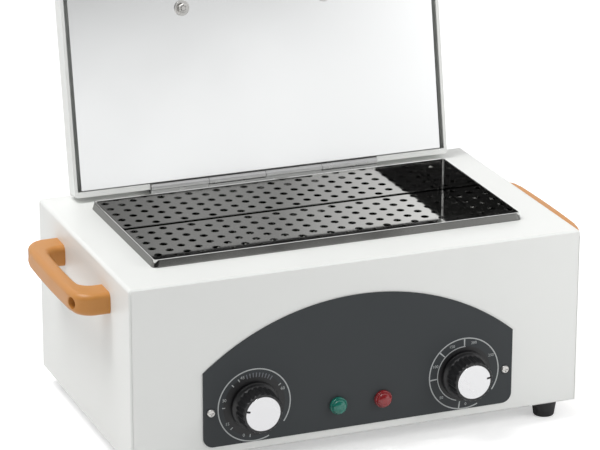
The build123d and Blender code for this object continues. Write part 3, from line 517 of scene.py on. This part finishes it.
for columns, rows in ((13, 10), (12, 9)):
    bpy.ops.object.select_all(action="DESELECT")
    bpy.ops.mesh.primitive_cylinder_add(vertices=20, radius=hole_radius, depth=6 * mm)
    punch = bpy.context.object
    across = punch.modifiers.new("across", "ARRAY")
    across.use_relative_offset = False
    across.use_constant_offset = True
    across.constant_offset_displace = (2 * hole_pitch_x, 0, 0)
    across.count = columns
    bpy.ops.object.modifier_apply(modifier="across")
    along = punch.modifiers.new("along", "ARRAY")
    along.use_relative_offset = False
    along.use_constant_offset = True
    along.constant_offset_displace = (0, hole_pitch_y, 0)
    along.count = rows
    bpy.ops.object.modifier_apply(modifier="along")
    shift = Vector((-(columns - 1) * hole_pitch_x, -(rows - 1) * hole_pitch_y / 2, skirt))
    punch.data.transform(Matrix.Translation(shift))
    punches.append(punch)
cut_with(tray, joined(punches))
tray.data.transform(Matrix.Translation((tray_middle.x, tray_middle.y - rear_room, tray_high.z - skirt)))
tray_steel = finish_of(
    "punched stainless steel", (0.60, 0.60, 0.59), (0.68, 0.68, 0.67),
    roughness=(0.03, 0.08), scales=(22.0, 60.0), grain_height=0.04, metallic=1.0,
)
fit(tray, "perforated_tray_sheet", "tray", "polished_steel", tray_steel, "perforated_tray")

# Inside the casing: mineral wool round the tub, a flat heater held by two strips, and its terminals.
# The wool is matted and yellowish, the heater is scaled from its heat.
mineral_wool = finish_of(
    "mineral wool", (0.42, 0.38, 0.24), (0.56, 0.52, 0.36),
    roughness=(0.9, 1.0), scales=(90.0, 700.0), grain_height=1.0,
)
dress(mineral_wool, "insulation_jacket", "lid_insulation")
heater_steel = finish_of(
    "scaled heater steel", (0.16, 0.14, 0.13), (0.30, 0.27, 0.25),
    roughness=(0.45, 0.7), scales=(70.0, 900.0), grain_height=0.3, metallic=1.0,
)
dress(heater_steel, "heater")
zinc_steel = finish_of(
    "zinc plated steel", (0.52, 0.53, 0.54), (0.66, 0.66, 0.66),
    roughness=(0.28, 0.45), scales=(160.0, 2200.0), grain_height=0.12, metallic=1.0,
)
dress(zinc_steel, "heater_brackets", "bulb_clip", "hinge_body_rivets", "hinge_lid_rivets", "bushing_nuts")
copper = finish_of(
    "copper tube", (0.62, 0.30, 0.17), (0.45, 0.21, 0.13),
    roughness=(0.25, 0.45), scales=(120.0, 1500.0), grain_height=0.08, metallic=1.0,
)
dress(copper, "sensing_bulb")
white_plastic = finish_of(
    "white nylon", (0.72, 0.71, 0.66), (0.78, 0.77, 0.73),
    roughness=(0.4, 0.55), scales=(60.0, 1500.0), grain_height=0.1,
)
dress(white_plastic, "terminal_block", "lamp_bodies")
dark_plastic = finish_of(
    "dark bakelite", (0.03, 0.025, 0.022), (0.05, 0.04, 0.035),
    roughness=(0.35, 0.5), scales=(60.0, 1800.0), grain_height=0.12,
)
dress(dark_plastic, "timer_body", "thermostat_body")

# Fascia: a thin dark slate grey plate with an arched top and two bright screws at its ends.
# Each dial has a black disc, light rings, ticks and numbers printed on the plate.
slate = finish_of(
    "slate grey plate", (0.030, 0.035, 0.038), (0.038, 0.043, 0.046),
    roughness=(0.45, 0.58), scales=(12.0, 2600.0), grain_height=0.14,
)
shader_of(slate).inputs["Specular IOR Level"].default_value = 0.35
dress(slate, "fascia_plate")
front = -126.0 * mm
fascia_front = front - 1.0 * mm
dial_height = 52.0 * mm
dial_offset = 87.0 * mm
print_lift = 0.06 * mm
facing_front = ((1, 0, 0), (0, -1, 0))


def printed_arc(radius, width, start, sweep):
    """A flat printed arc in the plane of X and Y, its angles in degrees clockwise from the top."""
    bpy.ops.object.select_all(action="DESELECT")
    bpy.ops.mesh.primitive_plane_add(size=1.0)
    arc = bpy.context.object
    bpy.ops.object.mode_set(mode="EDIT")
    choose(arc, "VERT", lambda middle, vertex: middle.x > 0)
    bpy.ops.mesh.delete(type="VERT")
    bpy.ops.mesh.select_all(action="SELECT")
    bpy.ops.transform.resize(value=(1, width * mm, 1), center_override=(0, 0, 0))
    bpy.ops.transform.translate(value=(0.5, radius * mm, 0))
    steps = max(2, int(sweep / 3))
    bpy.ops.mesh.spin(
        steps=steps, angle=math.radians(sweep), center=(0, 0, 0), axis=(0, 0, 1), use_normal_flip=True
    )
    bpy.ops.mesh.select_all(action="SELECT")
    bpy.ops.mesh.remove_doubles(threshold=1e-7)
    bpy.ops.mesh.extrude_region_move(TRANSFORM_OT_translate={"value": (0, 0, print_lift)})
    bpy.ops.mesh.select_all(action="SELECT")
    bpy.ops.mesh.normals_make_consistent(inside=False)
    bpy.ops.object.mode_set(mode="OBJECT")
    arc.data.transform(Matrix.Rotation(-math.radians(start), 4, "Z"))
    return arc


def printed_tick(angle, inner, outer, width):
    """A short radial printed line between two radii."""
    half_sweep = math.degrees(width / (inner + outer))
    return printed_arc((inner + outer) / 2, outer - inner, angle - half_sweep, 2 * half_sweep)


def printed_number(words, angle, radius, size):
    """A printed number, upright, with its middle at that angle and radius."""
    bpy.ops.object.select_all(action="DESELECT")
    bpy.ops.object.text_add()
    number = bpy.context.object
    number.data.body = words
    number.data.size = size * mm
    number.data.align_x = "CENTER"
    number.data.align_y = "CENTER"
    number.data.extrude = print_lift / 2
    bpy.ops.object.convert(target="MESH")
    number = bpy.context.object
    turn = math.radians(angle)
    number.data.transform(
        Matrix.Translation((radius * mm * math.sin(turn), radius * mm * math.cos(turn), print_lift / 2))
    )
    return number


ring_radius = 29.2
ring_width = 0.9
ring_gap = (125.0, 156.0)
ring_sweep = 360.0 - (ring_gap[1] - ring_gap[0])
ground_thickness = 0.03
light_print = finish_of(
    "light grey print", (0.40, 0.42, 0.42), (0.50, 0.52, 0.52),
    roughness=(0.5, 0.6), scales=(90.0, 2000.0), grain_height=0.05,
)
faint_print = finish_of(
    "faint grey print", (0.13, 0.14, 0.16), (0.17, 0.18, 0.20),
    roughness=(0.5, 0.6), scales=(90.0, 2000.0), grain_height=0.05,
)
dial_black = finish_of(
    "black dial print", (0.010, 0.010, 0.011), (0.016, 0.016, 0.017),
    roughness=(0.4, 0.5), scales=(90.0, 2000.0), grain_height=0.05,
)
for dial_name, dial_side, ground_radius in (("timer", -1, 25.0), ("thermostat", 1, 22.4)):
    ground = turned(((ground_radius, 0.0), (ground_radius, ground_thickness)), steps=72)
    set_in_place(ground, (dial_side * dial_offset, fascia_front, dial_height), *facing_front)
    fit(ground, f"{dial_name}_dial_ground", "body", "black_plastic", dial_black)
timer_print = [printed_arc(ring_radius, ring_width, ring_gap[1], ring_sweep)]
timer_print += [
    printed_tick(angle, inner=23.6, outer=26.0, width=0.7) for angle in (188, 228, 272, 316, 330, 56)
]
timer_print += [
    printed_number(words, angle, radius=25.2, size=3.4)
    for words, angle in (("0", 200), ("15", 240), ("30", 286), ("45", 338), ("60", 66))
]
timer_scale = joined(timer_print)
set_in_place(timer_scale, (-dial_offset, fascia_front, dial_height), *facing_front)
fit(timer_scale, "timer_scale_print", "body", "white_paint", light_print)
minor_angles = range(346, 400, 6)
timer_minor = joined([printed_tick(angle, inner=22.6, outer=26.2, width=0.8) for angle in minor_angles])
set_in_place(timer_minor, (-dial_offset, fascia_front, dial_height), *facing_front)
fit(timer_minor, "timer_minor_print", "body", "white_paint", faint_print)

thermostat_print = [printed_arc(ring_radius, ring_width, ring_gap[1], ring_sweep)]
thermostat_print += [printed_arc(22.4, width=0.7, start=196, sweep=166)]
thermostat_print += [
    printed_tick(angle, inner=23.0, outer=29.0, width=1.0) for angle in (188, 266, 314, 0)
]
thermostat_print += [
    printed_number(words, angle, radius=25.8, size=3.2)
    for words, angle in (("0", 176), ("50", 227), ("100", 290), ("150", 336), ("200", 18), ("250", 62))
]
thermostat_scale = joined(thermostat_print)
set_in_place(thermostat_scale, (dial_offset, fascia_front, dial_height), *facing_front)
fit(thermostat_scale, "thermostat_scale_print", "body", "white_paint", light_print)


def pan_head_screw(head_radius, head_height, shank_radius, length):
    """A pan head screw along Z with a cross recess, its head on the plane of X and Y."""
    screw = turned(
        (
            (shank_radius * 0.6, -length), (shank_radius, -length + 0.6), (shank_radius, 0.0),
            (head_radius * 0.97, 0.0), (head_radius, head_height * 0.2),
            (head_radius * 0.95, head_height * 0.55), (head_radius * 0.78, head_height * 0.86),
            (head_radius * 0.5, head_height * 0.98), (head_radius * 0.2, head_height),
        ),
        steps=32,
    )
    slot_size = (head_radius * 1.15 * mm, head_radius * 0.3 * mm, head_height * 1.1 * mm, 1)
    slots = []
    for turn in (0.0, math.pi / 2):
        bpy.ops.object.select_all(action="DESELECT")
        bpy.ops.mesh.primitive_cube_add(size=1.0)
        slot_cut = bpy.context.object
        slot_cut.data.transform(
            Matrix.Translation((0, 0, head_height * mm))
            @ Matrix.Rotation(turn, 4, "Z")
            @ Matrix.Diagonal(slot_size)
        )
        slots.append(slot_cut)
    for slot_cut in slots:
        cut_with(screw, slot_cut)
    return screw


fascia_screw_reach = 122.0 * mm
fascia_screw_height = 50.5 * mm
fascia_screw = pan_head_screw(head_radius=3.2, head_height=1.8, shank_radius=1.5, length=7.0)
screws = [fascia_screw, copy_of(fascia_screw)]
for screw, side in zip(screws, (-1, 1)):
    set_in_place(screw, (side * fascia_screw_reach, fascia_front, fascia_screw_height), *facing_front)
fit(joined(screws), "fascia_pan_screws", "body", "screw_steel", bright_screw_steel, "fascia_screws")

# Lamps: domed lenses of clear coloured plastic, one green and one red, pressed in from the front.
# Each has a low collar that sits on the fascia.
lamp_offset = 18.6 * mm
lamp_height = 41.5 * mm
for colour_name, lamp_side, tint in (("green", -1, (0.02, 0.27, 0.20)), ("red", 1, (0.42, 0.03, 0.035))):
    lens = turned(
        (
            (2.0, -2.2), (5.2, -2.2), (5.2, 0.0), (6.8, 0.0), (7.0, 0.3), (7.0, 2.2), (6.75, 2.6),
            (6.2, 2.8), (6.1, 3.6), (5.7, 4.6), (5.0, 5.5), (4.0, 6.25), (2.8, 6.75), (1.4, 6.98),
            (0.4, 7.0),
        ),
        steps=48,
    )
    set_in_place(lens, (lamp_side * lamp_offset, fascia_front, lamp_height), *facing_front)
    lens_plastic = finish_of(
        f"{colour_name} lens plastic", tint, tuple(0.8 * part for part in tint),
        roughness=(0.08, 0.16), scales=(120.0, 1500.0), grain_height=0.05,
    )
    shader = shader_of(lens_plastic)
    shader.inputs["Transmission Weight"].default_value = 0.35
    shader.inputs["IOR"].default_value = 1.49
    shader.inputs["Coat Weight"].default_value = 0.4
    shader.inputs["Coat Roughness"].default_value = 0.06
    fit(
        lens, f"{colour_name}_lamp_lens", "body", f"{colour_name}_lens", lens_plastic,
        f"{colour_name}_lens",
    )

# Dials: black moulded knobs with a skirt and fine flutes, pushed on flatted steel shafts.
# Each carries a disc of spun aluminium whose notch shows the setting.
knob_plastic = finish_of(
    "black knob plastic", (0.010, 0.010, 0.011), (0.016, 0.016, 0.017),
    roughness=(0.26, 0.40), scales=(70.0, 2400.0), grain_height=0.12,
)
spun_aluminium = finish_of(
    "spun aluminium", (0.70, 0.70, 0.71), (0.80, 0.80, 0.81),
    roughness=(0.20, 0.34), scales=(30.0, 2500.0), grain_height=0.05, metallic=1.0,
)
dress(bright_screw_steel, "timer_shaft", "thermostat_shaft")
flutes = 24
for dial_name, dial_side, pointer in (("timer", -1, 285), ("thermostat", 1, 82)):
    knob = turned(
        (
            (3.0, 17.6), (3.0, 5.6), (11.0, 5.5), (11.0, 2.5), (18.6, 2.5), (19.0, 2.9), (19.0, 4.7),
            (18.6, 5.3), (17.4, 5.9), (16.9, 6.4), (16.8, 7.4), (16.6, 13.0), (16.3, 18.6), (15.9, 19.6),
            (15.2, 20.0), (13.95, 20.0), (13.9, 18.8), (3.2, 18.8),
        ),
        steps=flutes * 4,
    )
    bpy.ops.object.mode_set(mode="EDIT")
    for phase, ratio in ((0, 0.945), (1, 0.972), (3, 0.972)):
        choose(
            knob,
            "VERT",
            lambda middle, vertex: middle.z > 7.0 * mm
            and Vector((middle.x, middle.y)).length > 15.5 * mm
            and middle.z < 19.8 * mm
            and round(math.degrees(math.atan2(middle.y, middle.x)) / (90 / flutes)) % 4 == phase,
        )
        bpy.ops.transform.resize(value=(ratio, ratio, 1), center_override=(0, 0, 0))
    bpy.ops.object.mode_set(mode="OBJECT")
    place = (dial_side * dial_offset, front, dial_height)
    set_in_place(knob, place, *facing_front)
    fit(
        knob, f"{dial_name}_fluted_knob", f"{dial_name}_dial", "black_plastic", knob_plastic,
        f"{dial_name}_knob",
    )

    disc = turned(
        (
            (3.0, 18.85), (13.5, 18.85), (13.8, 19.1), (13.8, 20.0), (13.65, 20.3), (13.3, 20.4),
            (9.0, 20.38), (4.0, 20.36), (0.5, 20.36),
        ),
        steps=96,
    )
    bpy.ops.object.select_all(action="DESELECT")
    bpy.ops.mesh.primitive_cube_add(size=1.0)
    notch = bpy.context.object
    turn = math.radians(90 - pointer)
    notch.data.transform(
        Matrix.Rotation(turn, 4, "Z") @ Matrix.Translation((13.8 * mm, 0, 20 * mm))
        @ Matrix.Diagonal((6.0 * mm, 1.6 * mm, 4 * mm, 1))
    )
    cut_with(disc, notch)
    set_in_place(disc, place, *facing_front)
    fit(
        disc, f"{dial_name}_spun_disc", f"{dial_name}_dial", "spun_aluminium", spun_aluminium,
        f"{dial_name}_knob_cap",
    )

# Mains cable gland: a black nylon hexagon with a domed clamping cap.
# It is screwed through the rear panel and held by a nut inside.
black_nylon = finish_of(
    "black nylon", (0.014, 0.014, 0.015), (0.022, 0.022, 0.023),
    roughness=(0.35, 0.5), scales=(60.0, 1800.0), grain_height=0.15,
)
dress(black_nylon, "cable_gland", "gland_nut")


# Handles: tan heat resistant plastic, moulded in one piece with well rounded edges.
# Each leg has a counterbored hole with the screw's head at its bottom.
handle_thickness = 17.6
handle_rise = 28.9
edge_round = 4.8
grip_depth = 14.0
outer_bend = 16.0
inner_bend = 9.0
outer_arch = 2.0
inner_arch = 1.0


def bow_handle(length, screw_spacing):
    """A bow handle along X standing on the plane of X and Y."""
    half = length / 2
    leg = 25.0
    spare = 20.0
    bpy.ops.object.select_all(action="DESELECT")
    bpy.ops.mesh.primitive_cube_add(size=1.0)
    handle = bpy.context.object
    bpy.ops.object.mode_set(mode="EDIT")
    bpy.ops.transform.resize(
        value=(length * mm, handle_thickness * mm, (handle_rise - outer_arch + spare) * mm),
        center_override=(0, 0, 0),
    )
    bpy.ops.transform.translate(value=(0, 0, (handle_rise - outer_arch - spare) / 2 * mm))
    choose(
        handle,
        "EDGE",
        lambda middle, edge: abs(middle.x) > 0.9 * half * mm
        and middle.z > 20 * mm
        and abs(middle.y) < 1e-6,
    )
    bpy.ops.mesh.bevel(offset=outer_bend * mm, segments=10, affect="EDGES")
    arch_parts = 14
    rows = [row * length / arch_parts for row in range(-5, 6)]
    for row in rows:
        bpy.ops.mesh.select_all(action="SELECT")
        bpy.ops.mesh.bisect(plane_co=(row * mm, 0, 0), plane_no=(1, 0, 0))
    for row in rows:
        choose(
            handle, "VERT",
            lambda middle, vertex: abs(middle.x - row * mm) < 1e-5 and middle.z > 20 * mm,
        )
        bpy.ops.transform.translate(value=(0, 0, outer_arch * mm * (1 - (row / half) ** 2)))
    bpy.ops.object.mode_set(mode="OBJECT")
    bpy.ops.object.select_all(action="DESELECT")
    bpy.ops.mesh.primitive_cube_add(size=1.0)
    gap = bpy.context.object
    bpy.ops.object.mode_set(mode="EDIT")
    bpy.ops.transform.resize(
        value=(
            (length - 2 * leg) * mm, 2 * handle_thickness * mm,
            (handle_rise - grip_depth + 2 * spare) * mm,
        ),
        center_override=(0, 0, 0),
    )
    bpy.ops.transform.translate(value=(0, 0, (handle_rise - grip_depth - 2 * spare) / 2 * mm))
    choose(gap, "EDGE", lambda middle, edge: middle.z > 10 * mm and abs(middle.y) < 1e-6)
    bpy.ops.mesh.bevel(offset=inner_bend * mm, segments=8, affect="EDGES")
    for row in rows[1:-1]:
        bpy.ops.mesh.select_all(action="SELECT")
        bpy.ops.mesh.bisect(plane_co=(row * mm, 0, 0), plane_no=(1, 0, 0))
    for row in rows[1:-1]:
        choose(
            gap, "VERT",
            lambda middle, vertex: abs(middle.x - row * mm) < 1e-5 and middle.z > 10 * mm,
        )
        lift = inner_arch * mm * max(0.0, 1 - (row / (half - leg)) ** 2)
        bpy.ops.transform.translate(value=(0, 0, lift))
    bpy.ops.object.mode_set(mode="OBJECT")
    cut_with(handle, gap)
    bpy.ops.object.mode_set(mode="EDIT")
    bpy.ops.mesh.select_all(action="SELECT")
    bpy.ops.mesh.remove_doubles(threshold=1e-6)
    bpy.ops.mesh.dissolve_limited(angle_limit=math.radians(0.5))
    bpy.ops.mesh.select_all(action="SELECT")
    straight = (handle_thickness - 2 * edge_round) / handle_thickness
    bpy.ops.transform.resize(value=(1, straight, 1), center_override=(0, 0, 0))
    choose(handle, "FACE", lambda middle, face: abs(face.normal.y) > 0.99)
    steps = [math.radians(15 * step) for step in range(7)]
    for last, turn in zip(steps, steps[1:]):
        bpy.ops.mesh.inset(
            thickness=edge_round * mm * (math.cos(last) - math.cos(turn)),
            depth=edge_round * mm * (math.sin(turn) - math.sin(last)),
            use_even_offset=True,
        )
    bpy.ops.mesh.select_all(action="SELECT")
    bpy.ops.mesh.bisect(plane_co=(0, 0, 0), plane_no=(0, 0, 1), use_fill=True, clear_inner=True)
    bpy.ops.mesh.select_all(action="SELECT")
    bpy.ops.mesh.remove_doubles(threshold=1e-6)
    bpy.ops.mesh.normals_make_consistent(inside=False)
    bpy.ops.object.mode_set(mode="OBJECT")
    for side in (-1, 1):
        bore = turned(((4.75, 10.0), (4.75, 27.7), (5.9, 29.1), (5.9, 34.0)), steps=32)
        bore.data.transform(Matrix.Translation((side * screw_spacing * mm / 2, 0, 0)))
        cut_with(handle, bore)
    return handle


tan_plastic = finish_of(
    "tan heat resistant plastic", (0.52, 0.215, 0.040), (0.58, 0.250, 0.052),
    roughness=(0.34, 0.48), scales=(24.0, 900.0), grain_height=0.10,
)
shader = shader_of(tan_plastic)
shader.inputs["Subsurface Weight"].default_value = 0.04
shader.inputs["Coat Weight"].default_value = 0.12
shader.inputs["Coat Roughness"].default_value = 0.3
shader.inputs["Subsurface Radius"].default_value = (0.004, 0.002, 0.001)
side_of_casing = 185.0 * mm
side_handle_middle = -13.8 * mm
side_handle_height = 131.0 * mm
side_handle = bow_handle(length=137.0, screw_spacing=110.0)
for handle_name, handle_side in (("left", -1), ("right", 1)):
    handle = copy_of(side_handle)
    place = (handle_side * side_of_casing, side_handle_middle, side_handle_height)
    set_in_place(handle, place, (0, -handle_side, 0), (handle_side, 0, 0))
    fit(handle, f"{handle_name}_bow_handle", "body", "tan_plastic", tan_plastic, f"{handle_name}_handle")
bpy.data.objects.remove(side_handle)
dress(bright_screw_steel, "side_handle_screws")

# Hinge: two leaves of folded steel whose knuckles share one pin.
# One leaf is riveted to the casing and the other to the lid.
hinge_steel = finish_of(
    "satin hinge steel", (0.50, 0.50, 0.50), (0.62, 0.62, 0.62),
    roughness=(0.25, 0.4), scales=(80.0, 2000.0), grain_height=0.12, metallic=1.0,
)
dress(hinge_steel, "hinge_body_leaf", "hinge_lid_leaf", "hinge_pin")

# Lid: a shallow white pan with a hem round its rim, lined with a polished steel panel.
# Its bow handle is bolted through, with washers and nuts on the inner panel.
dress(powder_coat, "lid_skin")
panel_steel = finish_of(
    "satin lid panel steel", (0.86, 0.87, 0.87), (0.91, 0.92, 0.92),
    roughness=(0.12, 0.20), scales=(7.0, 40.0), grain_height=0.04, metallic=1.0,
)
dress(panel_steel, "lid_inner_panel")
open_tilt = math.radians(100.5)
lid_out = Vector((0, math.sin(open_tilt), math.cos(open_tilt)))
lid_back = Vector((0, math.cos(open_tilt), -math.sin(open_tilt)))
hinge_axis = Vector((0, 0.0758, 0.162607))
lid_bolt_reach = 141.0 * mm
lid_bolt_spacing = 122.0
panel_level = 0.693 * mm
skin_level = 15.693 * mm
lid_bolts = hinge_axis - lid_back * lid_bolt_reach
handle_foot = lid_bolts + lid_out * skin_level
lid_handle = bow_handle(length=149.0, screw_spacing=lid_bolt_spacing)
set_in_place(lid_handle, handle_foot, (1, 0, 0), lid_out)
fit(lid_handle, "lid_bow_handle", "lid", "tan_plastic", tan_plastic, "lid_handle")
dress(bright_screw_steel, "lid_handle_screws")

panel_face = lid_bolts + lid_out * panel_level
washer_thickness = 0.8
washer = turned(
    (
        (2.2, 0.0), (6.0, 0.0), (6.25, 0.15), (6.25, 0.65), (6.05, washer_thickness),
        (2.6, washer_thickness), (2.2, 0.7), (2.2, 0.1),
    ),
    steps=48,
)
washers = [washer, copy_of(washer)]
nut = turned(
    (
        (2.1, 0.0), (3.55, 0.0), (4.04, 0.35), (4.04, 2.85), (3.55, 3.2), (2.45, 3.2), (2.1, 2.8),
        (2.1, 0.2),
    ),
    steps=6,
)
nuts = [nut, copy_of(nut)]
for washer, nut, side in zip(washers, nuts, (-1, 1)):
    washer_place = panel_face + Vector((side * lid_bolt_spacing / 2 * mm, 0, 0))
    nut_place = washer_place - lid_out * washer_thickness * mm
    set_in_place(washer, washer_place, (-1, 0, 0), -lid_out)
    set_in_place(nut, nut_place, (-1, 0, 0), -lid_out)
fit(joined(washers), "lid_plain_washers", "lid", "screw_steel", bright_screw_steel, "lid_washers")
fit(joined(nuts), "lid_hexagon_nuts", "lid", "screw_steel", bright_screw_steel, "lid_nuts")
